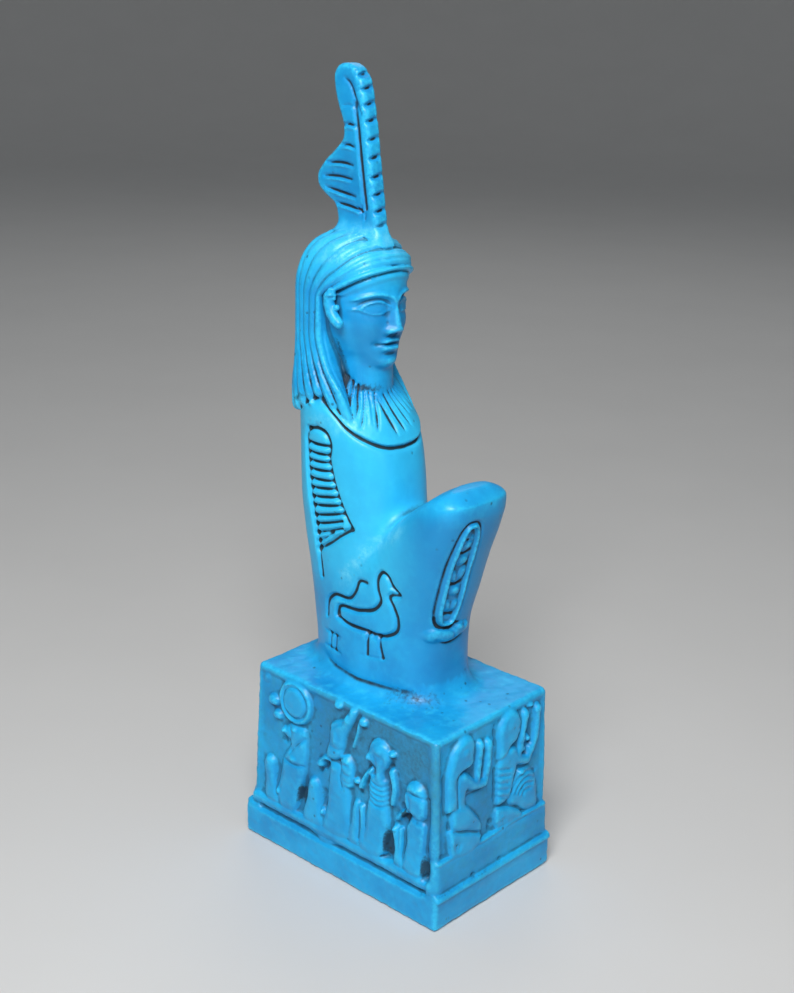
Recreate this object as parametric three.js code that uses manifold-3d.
import * as THREE from 'three';
import { mergeVertices } from 'three/addons/utils/BufferGeometryUtils.js';
import Module from 'manifold-3d';

const wasm = await Module();
wasm.setup();

// All sizes in mm. The figure looks along -Y, Z is up, the origin is under the middle of the foot slab.
// Carving is laid out on flat sheets: u runs to the front on the long sides and to +X on the short
// ones, v is the height above the ground.

// Foot slab and block
const SLAB_WIDTH = 34.4;
const SLAB_DEPTH = 52.0;
const SLAB_TOP = 6.9;
const SLAB_CORNER = 1.5;
const BLOCK_FOOT_WIDTH = 33.0;
const BLOCK_FOOT_DEPTH = 50.6;
const BLOCK_TOP_WIDTH = 32.2;
const BLOCK_TOP_DEPTH = 48.2;
const BLOCK_TOP = 38.1;
const BLOCK_CORNER = 1.3;
const EDGE_SOFTENING = 0.6;

// Seated body: height, front y, back y, half width, squareness of the outline
const TORSO = [
  [36.5, -7.0, 19.6, 8.3, 2.1],
  [42, -7.0, 20.0, 8.5, 2.1],
  [50, -6.0, 20.6, 8.7, 2.2],
  [58, -4.5, 21.4, 9.0, 2.3],
  [66, -2.6, 22.3, 9.5, 2.4],
  [74, -2.0, 22.9, 9.9, 2.5],
  [81, -0.9, 23.1, 10.1, 2.5],
  [86, 0.7, 23.0, 10.2, 2.5],
  [89.5, 2.8, 22.7, 10.2, 2.5],
  [92, 4.8, 22.0, 9.8, 2.4],
  [93.8, 6.8, 20.4, 8.4, 2.2],
  [94.6, 9.0, 18.0, 5.6, 2.0],
];
const LEGS = [
  [36.5, -12.7, 14, 9.2, 3.2],
  [41, -12.9, 14, 9.2, 3.1],
  [48, -13.4, 14, 9.1, 2.9],
  [54, -14.3, 13, 9.1, 2.8],
  [60, -15.8, 8.0, 9.2, 2.8],
  [66, -17.2, 2.2, 9.3, 2.8],
  [70, -18.5, -1.4, 9.3, 2.8],
  [73.5, -19.5, -4.7, 9.2, 2.8],
  [76.3, -20.1, -8.2, 9.0, 2.8],
  [78.5, -20.2, -11.4, 8.5, 2.7],
  [79.9, -19.8, -14.4, 7.5, 2.5],
  [80.7, -18.6, -16.2, 5.4, 2.2],
];
const BODY_RING = 22;
const FOOT_FILLET = [
  [37.4, 2.2],
  [38.5, 1.2],
  [40.2, 0.5],
];

// Wig: middle of the head, dome, then the falling part as height, half width, half depth
const HEAD_MIDDLE_Y = 13.45;
const EAR_LEVEL = 112;
const DOME_HEIGHT = 11.6;
const DOME_POWER = 2.4;
const FALL = [
  [112, 9.7, 11.4],
  [106, 9.7, 11.4],
  [99, 9.9, 11.7],
  [94, 10.4, 12.0],
  [87, 10.4, 11.8],
];
// Share of the fall and how far the surface is drawn in there
const FALL_ROWS = [
  [0, 0],
  [0.45, 0],
  [0.9, 0.25],
  [0.97, 0.9],
  [1, 2.2],
];
const HAIRLINE_RISE = 28;
const EAR_AZIMUTH = 88;
const LOCKS_A_SIDE = 8;
const LOCK_DEPTH = 0.6;
// A lock's groove and the two edges of its crown, as shares of its width
const LOCK_COLUMNS = [0, 0.26, 0.74];
const DOME_ROWS = 5;
// Lower edge of the fall by azimuth, and how the front locks swing forward by height
const HEM = [
  [88, 88.8],
  [97, 90.4],
  [104, 92.4],
  [111, 93.6],
  [121, 93],
  [131, 91],
  [142, 89.2],
  [180, 88],
];
const FRONT_SWING = [
  [91, 1.44],
  [95, 1.34],
  [100, 1.12],
  [106, 1],
];

// Fan of hair over the chest: azimuth from the front, height of its lower edge
const FAN_EDGE = [
  [0, 85.1],
  [22, 85.5],
  [42, 87],
  [62, 89.2],
  [80, 91.8],
  [96, 93.5],
];
const FAN_MIDDLE_Y = 11.5;
const FAN_TOP = 96.5;
const FAN_REACH = 96;
const FAN_LOCKS = 8;
const FAN_SLOPE = 0.8;
const FAN_THICKNESS = 0.6;
const NECK_RADIUS = 5;
// Height, middle y and radius of the neck
const NECK = [
  [90, 10.6, 6.2],
  [95, 10.6, 5.2],
  [101, 11, 5.0],
];

// Face, own plain design: height, front y, half width
const FACE = [
  [97.9, 7.4, 3.2],
  [98.8, 5.4, 3.9],
  [100.1, 4.5, 5.0],
  [101.8, 4.4, 6.0],
  [103, 4.3, 6.5],
  [103.5, 4.3, 6.7],
  [104.2, 4.2, 6.9],
  [104.9, 4.1, 7.3],
  [105.7, 4.1, 7.5],
  [106.4, 4.0, 7.7],
  [108.3, 3.8, 8.1],
  [110.3, 3.8, 8.3],
  [112.1, 3.6, 8.4],
  [114.7, 3.5, 8.4],
  [117.5, 4.6, 8.2],
];
const FACE_BACK_Y = 15;
const FACE_COLUMNS = 16;
const EYE_LEVEL = 110.3;
const EYE_OFFSET = 3.5;
const MOUTH_LEVEL = 103.5;
const CHIN_LEVEL = 99;
// Height, how far the nose stands out, and its half width
const NOSE = [
  [104.9, 0, 1.5],
  [105.6, 0.9, 1.6],
  [106.3, 2.3, 1.45],
  [107.4, 1.9, 1.25],
  [109.6, 1.3, 1.0],
  [112.3, 0.5, 1.2],
  [114.4, 0, 1.4],
];
const LIPS = [
  [101.6, 0],
  [102.2, -0.2],
  [103, 0.55],
  [103.5, 0.2],
  [104.1, 0.6],
  [104.7, 0],
];
const EAR_X = 9.2;
const EAR_MIDDLE = [-10.6, 110.2];
const EAR_HALF = [1.7, 3.7];
const EAR_LEAN = -0.25;
const EAR_HEIGHT = 1.0;

// Feather
const FEATHER_THICKNESS = 3.5;
const FEATHER_BEVEL = 0.6;
const FEATHER_OUTLINE = [
  [-6.2, 122], [-7.1, 126], [-8, 131], [-9, 137], [-9.8, 142.5], [-10.7, 147], [-11.7, 150.3],
  [-13.2, 152.1], [-15.4, 152.8], [-17.5, 152.3], [-18.5, 150.8], [-18.3, 148.4], [-17.2, 145], [-16, 141.8],
  [-16.1, 139.6], [-17.7, 137.9], [-20.9, 135.1], [-22.7, 132.3], [-22.2, 130.5], [-20.2, 128.9],
  [-17.9, 127.4], [-17.3, 125.4], [-18, 122],
];
// Height, middle y, half thickness and half depth of the root that widens into the wig
const FEATHER_ROOT = [
  [120, 13.0, 5.2, 7.4],
  [122.2, 12.8, 3.7, 6.4],
  [124, 12.5, 2.5, 5.5],
  [126.2, 12.2, 1.7, 4.8],
];
const QUILL = [[-15.4, 150.4], [-13, 147.6], [-12.2, 143], [-11.3, 137], [-10.5, 132], [-9.6, 127.4]];
// Height, start and end of each barb
const BARBS = [[142, -15.2, -12.9], [138.4, -15.8, -12.6], [135.2, -19.2, -12.7], [132.7, -20.2, -12.9],
  [130.1, -19.2, -11.8], [127.8, -16.6, -10.7]];
// Heights of the notches on the front edge, whose line is the first points of the outline
const NOTCHES = [124.4, 127, 129.8, 132.8, 136, 139.2, 142.4, 145.3, 148];
const FRONT_EDGE_POINTS = 7;

const turn = Math.PI / 180;

function between(keys, at, column) {
  const rising = keys[keys.length - 1][0] > keys[0][0];
  const rows = rising ? keys : [...keys].reverse();
  if (at <= rows[0][0]) {
    return rows[0][column];
  }
  for (let i = 1; i < rows.length; i++) {
    if (at <= rows[i][0]) {
      const share = (at - rows[i - 1][0]) / (rows[i][0] - rows[i - 1][0]);
      return rows[i - 1][column] + share * (rows[i][column] - rows[i - 1][column]);
    }
  }
  return rows[rows.length - 1][column];
}

// Bodies
function signedVolume(points, faces) {
  let sum = 0;
  for (let i = 0; i < faces.length; i += 3) {
    const a = new THREE.Vector3(...points.slice(3 * faces[i], 3 * faces[i] + 3));
    const b = new THREE.Vector3(...points.slice(3 * faces[i + 1], 3 * faces[i + 1] + 3));
    const c = new THREE.Vector3(...points.slice(3 * faces[i + 2], 3 * faces[i + 2] + 3));
    sum += a.dot(b.cross(c));
  }
  return sum;
}

function solid(geometry, place) {
  const bare = geometry.clone();
  for (const name of Object.keys(bare.attributes)) {
    if (name !== 'position') {
      bare.deleteAttribute(name);
    }
  }
  const merged = mergeVertices(bare, 1e-4);
  const position = merged.attributes.position;
  if (place) {
    for (let i = 0; i < position.count; i++) {
      position.setXYZ(i, ...place(position.getX(i), position.getY(i), position.getZ(i)));
    }
  }
  const points = Array.from(position.array);
  const index = merged.index.array;
  const faces = [];
  for (let i = 0; i < index.length; i += 3) {
    const [a, b, c] = index.slice(i, i + 3);
    if (a !== b && b !== c && c !== a) {
      faces.push(a, b, c);
    }
  }
  if (signedVolume(points, faces) < 0) {
    for (let i = 0; i < faces.length; i += 3) {
      [faces[i], faces[i + 1]] = [faces[i + 1], faces[i]];
    }
  }
  return new wasm.Manifold(new wasm.Mesh({
    numProp: 3,
    vertProperties: new Float32Array(points),
    triVerts: new Uint32Array(faces),
  }));
}

function unite(bodies) {
  return bodies.reduce((all, body) => all.add(body));
}

// A closed body over rings with the same number of points
function loft(rings) {
  const around = rings[0].length;
  const points = rings.flat(2);
  const faces = [];
  for (let r = 0; r + 1 < rings.length; r++) {
    for (let k = 0; k < around; k++) {
      const next = (k + 1) % around;
      const a = r * around + k;
      const b = r * around + next;
      const c = a + around;
      const d = b + around;
      faces.push(a, b, d, a, d, c);
    }
  }
  for (const r of [0, rings.length - 1]) {
    const middle = points.length / 3;
    for (let axis = 0; axis < 3; axis++) {
      points.push(rings[r].reduce((sum, p) => sum + p[axis], 0) / around);
    }
    for (let k = 0; k < around; k++) {
      const a = r * around + k;
      const b = r * around + (k + 1) % around;
      faces.push(...(r === 0 ? [b, a, middle] : [a, b, middle]));
    }
  }
  const geometry = new THREE.BufferGeometry();
  geometry.setAttribute('position', new THREE.Float32BufferAttribute(points, 3));
  geometry.setIndex(faces);
  return solid(geometry);
}

function power(value, exponent) {
  return Math.sign(value) * Math.abs(value) ** exponent;
}

function bodyRing(z, front, back, half, squareness) {
  const middle = (front + back) / 2;
  const reach = (back - front) / 2;
  const ring = [];
  for (let k = 0; k < BODY_RING; k++) {
    const angle = 2 * Math.PI * k / BODY_RING;
    const x = half * power(Math.cos(angle), 2 / squareness);
    const y = middle + reach * power(Math.sin(angle), 2 / squareness);
    ring.push([x, y, z]);
  }
  return ring;
}

function keyedBody(keys) {
  const rings = [];
  for (const [z, spread] of FOOT_FILLET) {
    const row = [1, 2, 3, 4].map((column) => between(keys, z, column));
    rings.push(bodyRing(z, row[0] - spread, row[1] + spread, row[2] + spread, row[3]));
  }
  return loft([...rings, ...keys.filter(([z]) => z > 40).map((row) => bodyRing(...row))]);
}

// Half width of a keyed body at a point of its long section, zero outside it
function keyedReach(keys, y, z) {
  if (z < keys[0][0] || z > keys[keys.length - 1][0]) {
    return 0;
  }
  const front = between(keys, z, 1);
  const back = between(keys, z, 2);
  const squareness = between(keys, z, 4);
  const share = Math.abs(y - (front + back) / 2) / ((back - front) / 2);
  if (share >= 1) {
    return 0;
  }
  return between(keys, z, 3) * (1 - share ** squareness) ** (1 / squareness);
}

function flank(y, z) {
  return Math.max(keyedReach(TORSO, y, z), keyedReach(LEGS, y, z));
}

function shin(x, z) {
  const front = between(LEGS, z, 1);
  const back = between(LEGS, z, 2);
  const squareness = between(LEGS, z, 4);
  const share = Math.min(Math.abs(x) / between(LEGS, z, 3), 0.99);
  return (front + back) / 2 - (back - front) / 2 * (1 - share ** squareness) ** (1 / squareness);
}

function roundedBox(width, depth, corner, z) {
  const ring = [];
  for (const [sx, sy, start] of [[1, 1, 0], [-1, 1, 90], [-1, -1, 180], [1, -1, 270]]) {
    for (let step = 0; step <= 3; step++) {
      const angle = (start + 30 * step) * turn;
      const x = sx * (width / 2 - corner) + corner * Math.cos(angle);
      const y = sy * (depth / 2 - corner) + corner * Math.sin(angle);
      ring.push([x, y, z]);
    }
  }
  return ring;
}

function pedestal() {
  const soft = EDGE_SOFTENING;
  const slab = loft([
    roundedBox(SLAB_WIDTH - soft, SLAB_DEPTH - soft, SLAB_CORNER, 0),
    roundedBox(SLAB_WIDTH, SLAB_DEPTH, SLAB_CORNER, soft),
    roundedBox(SLAB_WIDTH, SLAB_DEPTH, SLAB_CORNER, SLAB_TOP - soft),
    roundedBox(SLAB_WIDTH - soft, SLAB_DEPTH - soft, SLAB_CORNER, SLAB_TOP),
  ]);
  const block = loft([
    roundedBox(BLOCK_FOOT_WIDTH, BLOCK_FOOT_DEPTH, BLOCK_CORNER, SLAB_TOP - 1),
    roundedBox(BLOCK_TOP_WIDTH, BLOCK_TOP_DEPTH, BLOCK_CORNER, BLOCK_TOP - soft),
    roundedBox(BLOCK_TOP_WIDTH - 1.4 * soft, BLOCK_TOP_DEPTH - 1.4 * soft, BLOCK_CORNER, BLOCK_TOP),
  ]);
  return slab.add(block);
}

// Sheets on which carving is laid out
function blockShare(v) {
  return (v - SLAB_TOP + 1) / (BLOCK_TOP - SLAB_TOP + 1);
}

function blockHalfWidth(v) {
  return (BLOCK_FOOT_WIDTH + blockShare(v) * (BLOCK_TOP_WIDTH - BLOCK_FOOT_WIDTH)) / 2;
}

function blockHalfDepth(v) {
  return (BLOCK_FOOT_DEPTH + blockShare(v) * (BLOCK_TOP_DEPTH - BLOCK_FOOT_DEPTH)) / 2;
}

const onRightOfFigure = (u, v, h) => [-blockHalfWidth(v) - h, -u, v];
const onLeftOfFigure = (u, v, h) => [blockHalfWidth(v) + h, -u, v];
const onBlockFront = (u, v, h) => [u, -blockHalfDepth(v) - h, v];
const onBlockBack = (u, v, h) => [-u, blockHalfDepth(v) + h, v];
const onRightFlank = (u, v, h) => [-flank(-u, v) - h, -u, v];
const onLeftFlank = (u, v, h) => [flank(-u, v) + h, -u, v];
const onShin = (u, v, h) => [u, shin(u, v) - h, v];

// A raised pad with a softened rim; its outline runs smoothly through the given points
const RELIEF_ROOT = 0.6;
const RELIEF_RIM = 0.4;
const RING_RIM = 0.2;
const GROOVE_LIFT = 0.25;
const GROOVE_DEPTH = 0.62;

function smoothOutline(points, perSpan) {
  const corners = points.map(([u, v]) => new THREE.Vector3(u, v, 0));
  const curve = new THREE.CatmullRomCurve3(corners, true, 'centripetal');
  return curve.getPoints(points.length * perSpan).slice(0, -1).map((p) => new THREE.Vector2(p.x, p.y));
}

function pad(outline, height, sheet, hole) {
  const shape = new THREE.Shape(outline);
  const rim = hole ? RING_RIM : RELIEF_RIM;
  if (hole) {
    shape.holes.push(new THREE.Path(hole));
  }
  const geometry = new THREE.ExtrudeGeometry(shape, {
    depth: RELIEF_ROOT,
    bevelEnabled: true,
    bevelThickness: height,
    bevelSize: rim,
    bevelOffset: -rim,
    bevelSegments: 1,
  });
  return solid(geometry, (u, v, h) => sheet(u, v, h - RELIEF_ROOT));
}

function lump(points, height, sheet) {
  return pad(smoothOutline(points, 1), height, sheet);
}

function oval(u, v, halfU, halfV, count, lean = 0, squareness = 2) {
  const outline = [];
  for (let k = 0; k < count; k++) {
    const angle = 2 * Math.PI * k / count;
    const along = halfU * power(Math.cos(angle), 2 / squareness);
    const across = halfV * power(Math.sin(angle), 2 / squareness);
    outline.push(new THREE.Vector2(
      u + along * Math.cos(lean) - across * Math.sin(lean),
      v + along * Math.sin(lean) + across * Math.cos(lean),
    ));
  }
  return outline;
}

// A three-sided bar along a line on a sheet: its two upper edges at one level, its keel at another
function keeledBar(points, width, sheet, steps, edgeLevel, keelLevel) {
  const corners = points.map(([u, v]) => new THREE.Vector3(u, v, 0));
  const path = new THREE.CatmullRomCurve3(corners, false, 'centripetal');
  const rings = [];
  for (let k = 0; k <= steps; k++) {
    const { x: u, y: v } = path.getPoint(k / steps);
    const tangent = path.getTangent(k / steps);
    const du = -tangent.y * width / 2;
    const dv = tangent.x * width / 2;
    rings.push([
      sheet(u + du, v + dv, edgeLevel),
      sheet(u - du, v - dv, edgeLevel),
      sheet(u, v, keelLevel),
    ]);
  }
  return loft(rings);
}

const groove = (points, width, sheet, steps, level = 0) => {
  return keeledBar(points, width, sheet, steps, level + GROOVE_LIFT, level - GROOVE_DEPTH * width);
};

const ridge = (points, width, height, sheet, steps) => {
  return keeledBar(points, width, sheet, steps, -RELIEF_ROOT, height);
};

// Relief of four squatting figures that face the back, laid out for a long side of the block
const FIGURE_HEIGHT = 0.8;
const FACING_FOOT = 9.8;

function raisedKnee(u, width, top, sheet) {
  return lump([[u, top], [u + 0.48 * width, top - 2], [u + 0.5 * width, FACING_FOOT],
    [u - 0.5 * width, FACING_FOOT], [u - 0.5 * width, top - 4.2]], 0.7, sheet);
}

function squattingRow(sheet, dressed) {
  const foot = FACING_FOOT;
  const parts = [
    lump([[-23.5, 6], [23.6, 6], [23.6, 8.8], [-23.5, 8.8]], 0.45, sheet),
    // First figure: falcon head under a disk
    pad(oval(-12.8, 33.2, 4.1, 4.1, 12), 0.45, sheet),
    pad(oval(-12.8, 33.2, 2.7, 2.7, 8), 0.75, sheet),
    lump([[-16.4, 26.6], [-14.2, 28.8], [-10.2, 28.8], [-9.6, 21.8], [-14, 24.6]], 0.9, sheet),
    lump([[-15.6, 22], [-12.6, 24.8], [-9.4, 22], [-11.2, foot], [-16.6, foot], [-16.6, 16]],
      FIGURE_HEIGHT, sheet),
    raisedKnee(-19.6, 3.8, 19.2, sheet),
    // Second figure: tall leaning crown
    lump([[-3.6, 25], [-3.2, 32], [0.1, 35.1], [3.2, 37.2], [3.4, 35], [1.8, 32.2], [2.8, 22],
      [0.4, 20.6], [-1.6, 23.6]], 0.9, sheet),
    lump([[-3.4, 19.5], [-1.8, 23.2], [2.2, 22.4], [3.4, 17], [3.1, foot], [-4.2, foot]],
      FIGURE_HEIGHT, sheet),
    raisedKnee(-6.9, 3.9, 19.3, sheet),
    // Third figure: round wig and a ribbed collar
    lump([[6.9, 29.6], [8.2, 32.8], [10.6, 33.6], [12.8, 31.6], [12.3, 27.6], [12.8, 24.6], [8.6, 24.8]],
      0.95, sheet),
    lump([[7.6, 22.8], [10, 25.2], [12.8, 23.2], [13.3, 16], [12.8, foot], [7.2, foot]],
      FIGURE_HEIGHT, sheet),
    raisedKnee(5.0, 3.6, 19.3, sheet),
    // Fourth figure: low head at the front corner
    lump([[17, 26], [18.6, 28.6], [21, 27.8], [21.9, 24], [21.6, 19.8], [18.4, 20.8]], 0.9, sheet),
    lump([[17.6, 18], [19.6, 21], [22, 18.4], [22.4, foot], [17.4, foot]], FIGURE_HEIGHT, sheet),
    raisedKnee(15.3, 3.4, 18.2, sheet),
  ];
  const cuts = [];
  if (dressed) {
    parts.push(lump([[-19.6, 32.6], [-17.9, 32.3], [-17.7, 28.4], [-19.2, 28.6]], 0.4, sheet));
    parts.push(pad(oval(5.4, 35.4, 1, 1, 5), 0.4, sheet));
    parts.push(pad(oval(13.9, 24.6, 1, 3, 6), 0.5, sheet));
    parts.push(ridge([[3.1, 28.4], [4.6, 31.6], [5.3, 34.6]], 1.4, 0.6, sheet, 2));
    parts.push(ridge([[5.7, 21.8], [7.2, 24], [8.4, 26.4]], 1.8, 0.9, sheet, 2));
    parts.push(pad(oval(-5.2, 24.2, 1.1, 0.9, 5), 0.5, sheet));
    for (let rib = 0; rib < 4; rib++) {
      const v = 20.4 + 1.3 * rib;
      cuts.push(groove([[7.8, v + 0.5], [10.2, v - 0.5], [12.8, v + 0.6]], 0.8, sheet, 2, FIGURE_HEIGHT));
    }
  }
  return { parts, cuts };
}

// Relief of two kneeling worshippers with raised hands on the front of the block
function kneelingPair(sheet) {
  const parts = [
    lump([[-14.6, 6], [14.6, 6], [14.6, 12.6], [0, 12.8], [-14.6, 12.6]], 0.5, sheet),
    lump([[-12.4, 31], [-11, 34.4], [-8.6, 36.4], [-6, 35.9], [-5.3, 33.2], [-6, 30.4], [-9.2, 29.6],
      [-10.4, 24], [-12.4, 22.6]], 0.95, sheet),
    lump([[-12, 29], [-9, 30.4], [-7.4, 26], [-8, 20], [-12.2, 20.4]], FIGURE_HEIGHT, sheet),
    lump([[-12.8, 22], [-9, 21.4], [-4, 19.6], [-2.8, 16.6], [-3.2, 13.8], [-12.6, 13.6]],
      FIGURE_HEIGHT, sheet),
    ridge([[-8.4, 28.2], [-5.4, 26.6], [-3.6, 27.6], [-3.2, 33.8]], 2.4, 1.1, sheet, 4),
    ridge([[-3.6, 25.8], [-1.6, 28], [-0.7, 33.8]], 2.1, 0.9, sheet, 3),
    lump([[1.9, 31], [2.2, 35], [4.5, 37], [7, 36.4], [7.9, 33.6], [7.3, 30.8], [4.8, 30], [3.2, 27.6],
      [1.4, 27]], 0.95, sheet),
    lump([[1.4, 26], [4.6, 30.2], [7.4, 28], [6.6, 21], [4, 18], [1.6, 20]], FIGURE_HEIGHT, sheet),
    lump([[3.2, 20.4], [6.2, 22.6], [12, 24], [13.6, 18.4], [13.2, 14.2], [1.2, 14], [1, 17]],
      FIGURE_HEIGHT, sheet),
    ridge([[4.6, 28.4], [7.4, 27.2], [8.8, 29.6], [9.5, 35.4]], 2.4, 1.1, sheet, 4),
    ridge([[7, 25.6], [10.4, 25.4], [12.4, 28.6], [13.5, 35.4]], 2.2, 0.9, sheet, 4),
  ];
  const cuts = [
    groove([[-11.4, 18.4], [-8, 18], [-5.4, 16.4]], 0.8, sheet, 2, FIGURE_HEIGHT),
    groove([[3.8, 18.6], [6.4, 17.8], [9, 15.8]], 0.8, sheet, 2, FIGURE_HEIGHT),
  ];
  for (let rib = 0; rib < 4; rib++) {
    const v = 20.2 + 1.7 * rib;
    cuts.push(groove([[1.7, v + 0.4], [4.4, v - 0.4]], 0.8, sheet, 1, FIGURE_HEIGHT));
  }
  for (let pleat = 0; pleat < 3; pleat++) {
    const u = 8 + 1.8 * pleat;
    cuts.push(groove([[u, 22.4], [u + 0.9, 18.6]], 0.7, sheet, 1, FIGURE_HEIGHT));
  }
  return { parts, cuts };
}

// Plain row of reeds with open heads on the back of the block
const REEDS = 5;
const REED_STEP = 5.6;

function reedRow(sheet) {
  const parts = [lump([[-14.6, 6], [14.6, 6], [14.6, 9.6], [-14.6, 9.6]], 0.5, sheet)];
  for (let k = 0; k < REEDS; k++) {
    const u = (k - (REEDS - 1) / 2) * REED_STEP;
    const top = 30 + 3 * (k % 2);
    parts.push(lump([[u - 0.8, 9], [u + 0.8, 9], [u + 0.6, top], [u - 0.6, top]], 0.6, sheet));
    parts.push(lump([[u, top - 2], [u + 1.6, top + 1.4], [u + 2.2, top + 3.6], [u, top + 4.2],
      [u - 2.2, top + 3.6], [u - 1.6, top + 1.4]], FIGURE_HEIGHT, sheet));
  }
  return { parts, cuts: [] };
}

// Carving on the flanks: a folded wing of bars, a standing bird, a lying beast and a small sign
const WING_BARS = 12;
const WING_TOP = 85.2;
const WING_BAR_STEP = 1.72;
const WING_SPINE = [[-15.7, 87.3], [-16.3, 83.5], [-15.9, 77], [-14.8, 70.5], [-13.8, 64], [-13.3, 58.6]];
const WING_EDGE = [[-15.7, 87.3], [-12, 87.4], [-10, 85.6], [-9.9, 81.4], [-8, 76], [-5, 69.8],
  [-9, 66.8], [-13.9, 63.8]];
const BIRD = [[7.5, 60.1], [5.6, 61.6], [4.6, 63.1], [3.2, 63.5], [2, 62], [2.2, 60], [2.8, 57.6],
  [1.6, 55.8], [-2, 54.4], [-8, 52.6], [-6.6, 51.2], [-1, 50.6], [4.4, 51], [6.6, 52.6], [6.7, 55],
  [5.7, 57.4], [5, 59], [6.6, 59.6]];
const BEAST = [[-0.6, 60.2], [-2.5, 60], [-3.3, 57.8], [-4.6, 56.2], [-9.6, 55.4], [-11, 54], [-11.4, 50.6]];

function flankCuts(sheet, dressed) {
  const cuts = [
    groove(WING_SPINE, 1.3, sheet, dressed ? 5 : 3),
    groove(WING_EDGE, 1.2, sheet, dressed ? 8 : 6),
    groove(BIRD, 1, sheet, dressed ? 15 : 11),
    groove([[0, 50.6], [0, 46.2]], 0.9, sheet, 1),
    groove([[2.7, 50.6], [3.6, 46.4]], 0.9, sheet, 1),
  ];
  const bars = dressed ? WING_BARS : WING_BARS / 3;
  for (let k = 0; k < bars; k++) {
    const bar = k * WING_BARS / bars;
    const v = WING_TOP - WING_BAR_STEP * bar;
    const inner = between([[64, -14], [70, -14.8], [78, -16], [86, -16.2]], v, 1);
    const outer = between([[64, -9.6], [67, -6.6], [71, -7.2], [76, -9.2], [80, -10.2], [86, -10.8]], v, 1);
    cuts.push(groove([[inner, v], [outer, v + 0.22 * bar + 0.1]], 1, sheet, 2));
  }
  if (dressed) {
    cuts.push(groove(BEAST, 1, sheet, 5));
    cuts.push(groove([[-1.4, 45.8], [5.2, 46.4]], 0.9, sheet, 1));
    for (const v of [44.3, 47.5]) {
      cuts.push(groove([[-11.6, v], [-7, v]], 0.8, sheet, 1));
    }
    for (const u of [-10.3, -8.4]) {
      cuts.push(groove([[u, 44.3], [u, 47.5]], 0.8, sheet, 1));
    }
  }
  return cuts;
}

// Upright long ring with a foot bar on the shins, filled with short plain strokes
const RING_MIDDLE = [-3, 64.4];
const RING_HALF = [3.1, 10.6];
const RING_BAND = 1;
const RING_SQUARENESS = 2.6;

function ringOutline(inset) {
  return oval(...RING_MIDDLE, RING_HALF[0] - inset, RING_HALF[1] - inset, 16, 0, RING_SQUARENESS);
}

function shinRing() {
  const [u, v] = RING_MIDDLE;
  const raised = [
    pad(ringOutline(0), 0.5, onShin, ringOutline(RING_BAND)),
    pad(oval(u + 1.2, v - 13.2, 3.6, 1.3, 8, 0.06), 0.75, onShin),
    pad(oval(u - 0.2, v + 6.8, 1.1, 1.1, 6), 0.3, onShin),
  ];
  for (const [du, dv, length] of [[-0.2, 4.2, 1.4], [0.2, -0.2, 1.5], [0, -4.6, 1.3]]) {
    raised.push(ridge([[u + du - length, v + dv + 0.2], [u + du + length, v + dv]], 1.3, 0.5, onShin, 1));
  }
  for (const [du, top, bottom] of [[-0.9, 3.2, 0.8], [0.9, -1.6, -3.8], [-0.5, -5.4, -7.6]]) {
    raised.push(ridge([[u + du, v + top], [u + du + 0.2, v + bottom]], 1.3, 0.5, onShin, 1));
  }
  return raised;
}

// Wig: each lock starts on the middle line of the dome, sweeps round the head and falls
function lockDirection(azimuth, share) {
  const climb = (180 - HAIRLINE_RISE) / (180 - EAR_AZIMUTH);
  const rise = (HAIRLINE_RISE + (azimuth - EAR_AZIMUTH) * climb) * turn;
  const middle = new THREE.Vector3(0, -Math.cos(rise), Math.sin(rise));
  const landing = new THREE.Vector3(Math.sin(azimuth * turn), -Math.cos(azimuth * turn), 0);
  const angle = middle.angleTo(landing);
  if (angle < 0.01) {
    return landing;
  }
  middle.multiplyScalar(Math.sin((1 - share) * angle) / Math.sin(angle));
  return middle.addScaledVector(landing, Math.sin(share * angle) / Math.sin(angle));
}

function domePoint(direction, inset) {
  const [, half, deep] = FALL[0];
  const size = (
    Math.abs(direction.x / half) ** DOME_POWER
    + Math.abs(direction.y / deep) ** DOME_POWER
    + Math.abs(direction.z / DOME_HEIGHT) ** DOME_POWER
  ) ** (-1 / DOME_POWER) - inset;
  return [direction.x * size, HEAD_MIDDLE_Y + direction.y * size, EAR_LEVEL + direction.z * size];
}

function fallPoint(azimuth, z, inset) {
  const spread = between(FRONT_SWING, z, 1);
  const bearing = (180 - (180 - azimuth) * spread) * turn;
  const half = between(FALL, z, 1);
  const deep = between(FALL, z, 2);
  const across = Math.sin(bearing);
  const along = -Math.cos(bearing);
  const size = (Math.abs(across / half) ** DOME_POWER + Math.abs(along / deep) ** DOME_POWER)
    ** (-1 / DOME_POWER) - inset;
  return [across * size, HEAD_MIDDLE_Y + along * size, z];
}

function lockStrip(azimuth, depth) {
  const strip = [];
  for (let row = 0; row < DOME_ROWS; row++) {
    const share = row / DOME_ROWS;
    const grown = depth * Math.min(1, 0.3 + 2 * share);
    strip.push(domePoint(lockDirection(azimuth, share), grown));
  }
  const hem = between(HEM, azimuth, 1);
  for (const [share, inset] of FALL_ROWS) {
    strip.push(fallPoint(azimuth, EAR_LEVEL - share * (EAR_LEVEL - hem), depth + inset));
  }
  return strip;
}

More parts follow.
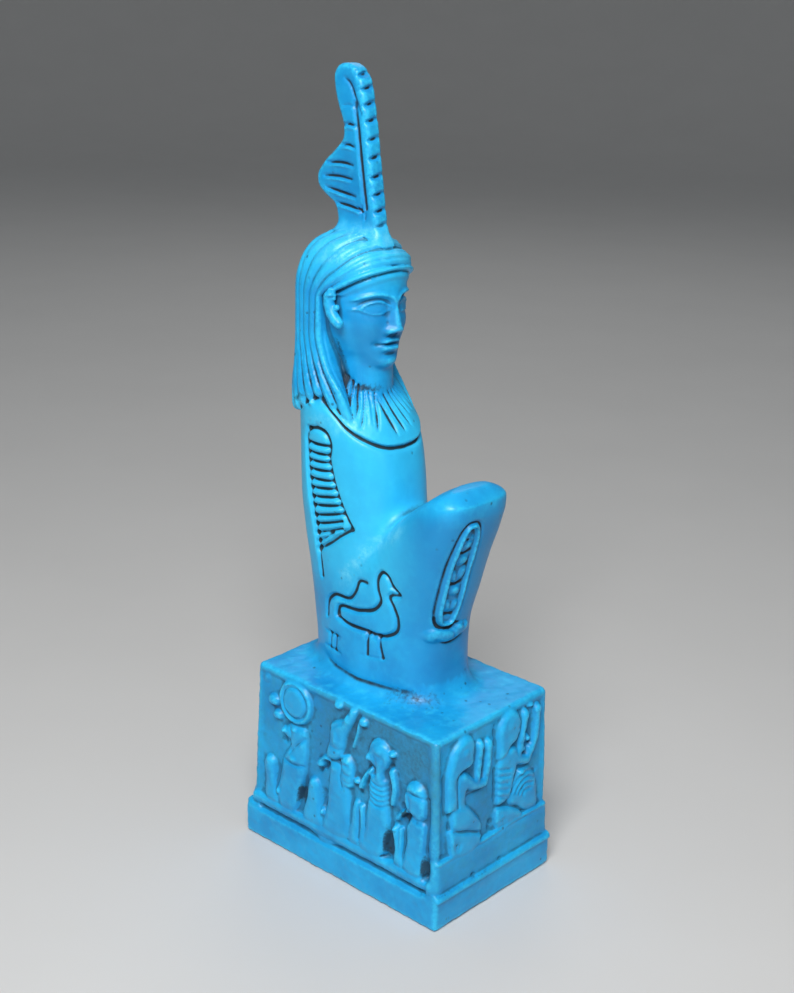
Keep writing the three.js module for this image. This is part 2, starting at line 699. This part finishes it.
function wig() {
  const perLock = LOCK_COLUMNS.length;
  const columns = perLock * LOCKS_A_SIDE;
  const strips = [];
  for (let k = -columns; k <= columns; k++) {
    const column = columns - Math.abs(k);
    const locks = Math.floor(column / perLock) + LOCK_COLUMNS[column % perLock];
    const azimuth = EAR_AZIMUTH + (180 - EAR_AZIMUTH) * locks / LOCKS_A_SIDE;
    const side = k <= 0 ? 1 : -1;
    const strip = lockStrip(azimuth, column % perLock === 0 ? LOCK_DEPTH : 0);
    strips.push(strip.map(([x, y, z]) => [column === columns ? 0 : side * x, y, z]));
  }
  // The face side is closed by walls that run in to the axis of the head
  const rows = strips[0].length;
  const core = strips[0].map(([, , z], row) => [0, HEAD_MIDDLE_Y, row < DOME_ROWS ? EAR_LEVEL : z]);
  strips.push(core);
  return sheetBody(strips, rows - 1, [0, HEAD_MIDDLE_Y, core[rows - 1][2]]);
}

// A closed body over strips that all run down to one end row, which a fan of faces closes
function sheetBody(strips, lastRow, endPoint) {
  const rows = lastRow + 1;
  const points = strips.flat(2);
  const faces = [];
  const count = strips.length;
  for (let s = 0; s < count; s++) {
    const next = (s + 1) % count;
    for (let r = 0; r < lastRow; r++) {
      const a = s * rows + r;
      const b = next * rows + r;
      faces.push(a, b, b + 1, a, b + 1, a + 1);
    }
    faces.push(s * rows + lastRow, next * rows + lastRow, points.length / 3);
  }
  points.push(...endPoint);
  const geometry = new THREE.BufferGeometry();
  geometry.setAttribute('position', new THREE.Float32BufferAttribute(points, 3));
  geometry.setIndex(faces);
  return solid(geometry);
}

// Fan of hair on the chest, from the neck out to its thick lower edge
function torsoRadius(azimuth, z) {
  const front = between(TORSO, z, 1);
  const half = between(TORSO, z, 3);
  const squareness = between(TORSO, z, 4);
  const deep = FAN_MIDDLE_Y - front;
  const across = Math.sin(azimuth * turn);
  const along = Math.cos(azimuth * turn);
  return (Math.abs(across / half) ** squareness + Math.abs(along / deep) ** squareness) ** (-1 / squareness);
}

function fan() {
  const columns = 2 * FAN_LOCKS;
  const strips = [];
  for (let k = -columns; k <= columns; k++) {
    const azimuth = FAN_REACH * k / columns;
    const sunk = Math.abs(k) % 2 === 1 ? 0 : LOCK_DEPTH;
    const edge = between(FAN_EDGE, Math.abs(azimuth), 1);
    const reach = torsoRadius(azimuth, edge) + FAN_THICKNESS;
    const strip = [];
    for (const [share, grooved] of [[0, 0], [0.12, 0.6], [0.4, 1], [0.7, 1], [0.94, 0.8], [1, 0]]) {
      const radius = NECK_RADIUS + (reach - NECK_RADIUS) * share ** FAN_SLOPE - grooved * sunk;
      const z = FAN_TOP + (edge - FAN_TOP) * share;
      strip.push([radius * Math.sin(azimuth * turn), FAN_MIDDLE_Y - radius * Math.cos(azimuth * turn), z]);
    }
    const under = reach - 3 * FAN_THICKNESS;
    strip.push([under * Math.sin(azimuth * turn), FAN_MIDDLE_Y - under * Math.cos(azimuth * turn), edge - 0.2]);
    strips.push(strip);
  }
  const core = strips[0].map(([, , z], row) => [0, FAN_MIDDLE_Y + 1, row === 0 ? FAN_TOP : z]);
  strips.push(core);
  const middle = [0, FAN_MIDDLE_Y + 1, FAN_TOP];
  return sheetBody(strips.map((strip) => [middle, ...strip]), strips[0].length, [0, FAN_MIDDLE_Y + 1, 90]);
}

// Face and neck
function bump(value, centre, spread) {
  return Math.exp(-(((value - centre) / spread) ** 2));
}

function faceRelief(x, z) {
  const side = Math.abs(x);
  const ridge = between(NOSE, z, 1) * bump(x, 0, between(NOSE, z, 2));
  const socket = -0.75 * bump(side, EYE_OFFSET, 2.2) * bump(z, EYE_LEVEL, 1.7);
  const eye = 0.7 * bump(side, EYE_OFFSET, 1.6) * bump(z, EYE_LEVEL, 0.85);
  const lips = between(LIPS, z, 1) * bump(x, 0, 2.5);
  const chin = 0.5 * bump(x, 0, 2.4) * bump(z, CHIN_LEVEL + 1.5, 1.3);
  const cheek = 0.35 * bump(side, 4.6, 2.2) * bump(z, 106.4, 2.4);
  return ridge + socket + eye + lips + chin + cheek;
}

function faceFront(x, z) {
  const share = Math.min(Math.abs(x) / between(FACE, z, 2), 1);
  const front = between(FACE, z, 1);
  return FACE_BACK_Y - (FACE_BACK_Y - front) * (1 - share ** 2.3) ** (1 / 2.3) - faceRelief(x, z);
}

const onFace = (u, v, h) => [u, faceFront(u, v) - h, v];

function head() {
  const rings = FACE.map(([z, , half]) => {
    const ring = [];
    for (let k = 0; k <= FACE_COLUMNS; k++) {
      const x = half * Math.sin((k / FACE_COLUMNS - 0.5) * Math.PI);
      ring.push([x, faceFront(x, z), z]);
    }
    return ring;
  });
  const neck = loft(NECK.map(([z, y, radius]) => {
    return oval(0, y, radius, radius, 10).map((p) => [p.x, p.y, z]);
  }));
  const parts = [loft(rings), neck];
  for (const side of [-1, 1]) {
    const lid = (u, v) => [side * (EYE_OFFSET + u), EYE_LEVEL + v];
    parts.push(ridge([lid(-2.3, 2.6), lid(0, 3.2), lid(2.6, 2.6), lid(4, 1.6)], 1.1, 0.35, onFace, 3));
    parts.push(lump([lid(-2.2, -0.2), lid(-0.6, 0.9), lid(1, 0.9), lid(2.3, 0.1), lid(0.8, -0.9),
      lid(-0.8, -0.9)], 0.35, onFace));
    const besideHead = (u, v, h) => [side * (EAR_X + h), -u, v];
    const shell = oval(...EAR_MIDDLE, ...EAR_HALF, 10, EAR_LEAN);
    const hollow = oval(EAR_MIDDLE[0] + 0.2, EAR_MIDDLE[1] + 0.6, 0.7, 1.9, 6, EAR_LEAN);
    parts.push(pad(shell, EAR_HEIGHT, besideHead, hollow));
  }
  const mouth = [[-2.3, MOUTH_LEVEL + 0.1], [0, MOUTH_LEVEL], [2.3, MOUTH_LEVEL + 0.1]];
  return { parts, cuts: [groove(mouth, 0.6, onFace, 2)] };
}

// Tall feather: a flat plate with a grooved quill, slanting barbs and a notched front edge
const onFeatherRight = (u, v, h) => [-FEATHER_THICKNESS / 2 - h, -u, v];
const onFeatherLeft = (u, v, h) => [FEATHER_THICKNESS / 2 + h, -u, v];

function feather() {
  const shape = new THREE.Shape(FEATHER_OUTLINE.map(([u, v]) => new THREE.Vector2(u, v)));
  const plate = new THREE.ExtrudeGeometry(shape, {
    depth: FEATHER_THICKNESS - 2 * FEATHER_BEVEL,
    bevelEnabled: true,
    bevelThickness: FEATHER_BEVEL,
    bevelSize: FEATHER_BEVEL,
    bevelOffset: -FEATHER_BEVEL,
    bevelSegments: 1,
  });
  const parts = [
    solid(plate, (u, v, h) => [FEATHER_THICKNESS / 2 - FEATHER_BEVEL - h, -u, v]),
    loft(FEATHER_ROOT.map(([z, y, half, deep]) => oval(0, y, half, deep, 12).map((p) => [p.x, p.y, z]))),
  ];
  const cuts = [];
  for (const sheet of [onFeatherRight, onFeatherLeft]) {
    cuts.push(groove(QUILL, 1.1, sheet, 4));
    for (const [v, start, end] of sheet === onFeatherRight ? BARBS : BARBS.slice(0, 4)) {
      cuts.push(groove([[start, v], [end, v - 0.08 * (end - start)]], 0.9, sheet, 1));
    }
  }
  const frontEdge = FEATHER_OUTLINE.slice(0, FRONT_EDGE_POINTS).map(([u, v]) => [v, u]);
  for (const v of NOTCHES) {
    const u = between(frontEdge, v, 1);
    cuts.push(groove([[-2.4, v], [2.4, v]], 1.1, (across, z, h) => [across, -u - h, z], 1));
  }
  return { parts, cuts };
}

const carved = [
  { parts: [pedestal(), keyedBody(TORSO), keyedBody(LEGS), wig(), fan()], cuts: [] },
  head(),
  feather(),
  squattingRow(onRightOfFigure, true),
  squattingRow(onLeftOfFigure, false),
  kneelingPair(onBlockFront),
  reedRow(onBlockBack),
  { parts: shinRing(), cuts: [...flankCuts(onRightFlank, true), ...flankCuts(onLeftFlank, false)] },
];
const raised = unite(carved.flatMap((group) => group.parts));
const statue = raised.subtract(unite(carved.flatMap((group) => group.cuts)));

const mesh = statue.getMesh();
const geometry = new THREE.BufferGeometry();
geometry.setAttribute('position', new THREE.Float32BufferAttribute(mesh.vertProperties, 3));
geometry.setIndex(Array.from(mesh.triVerts));
geometry.computeVertexNormals();

const glaze = new THREE.MeshStandardMaterial({ color: 0x1f9fdc, roughness: 0.38, metalness: 0 });
const part = new THREE.Group();
const cast = new THREE.Mesh(geometry, glaze);
cast.name = 'maat_statue';
part.add(cast);

export default part;
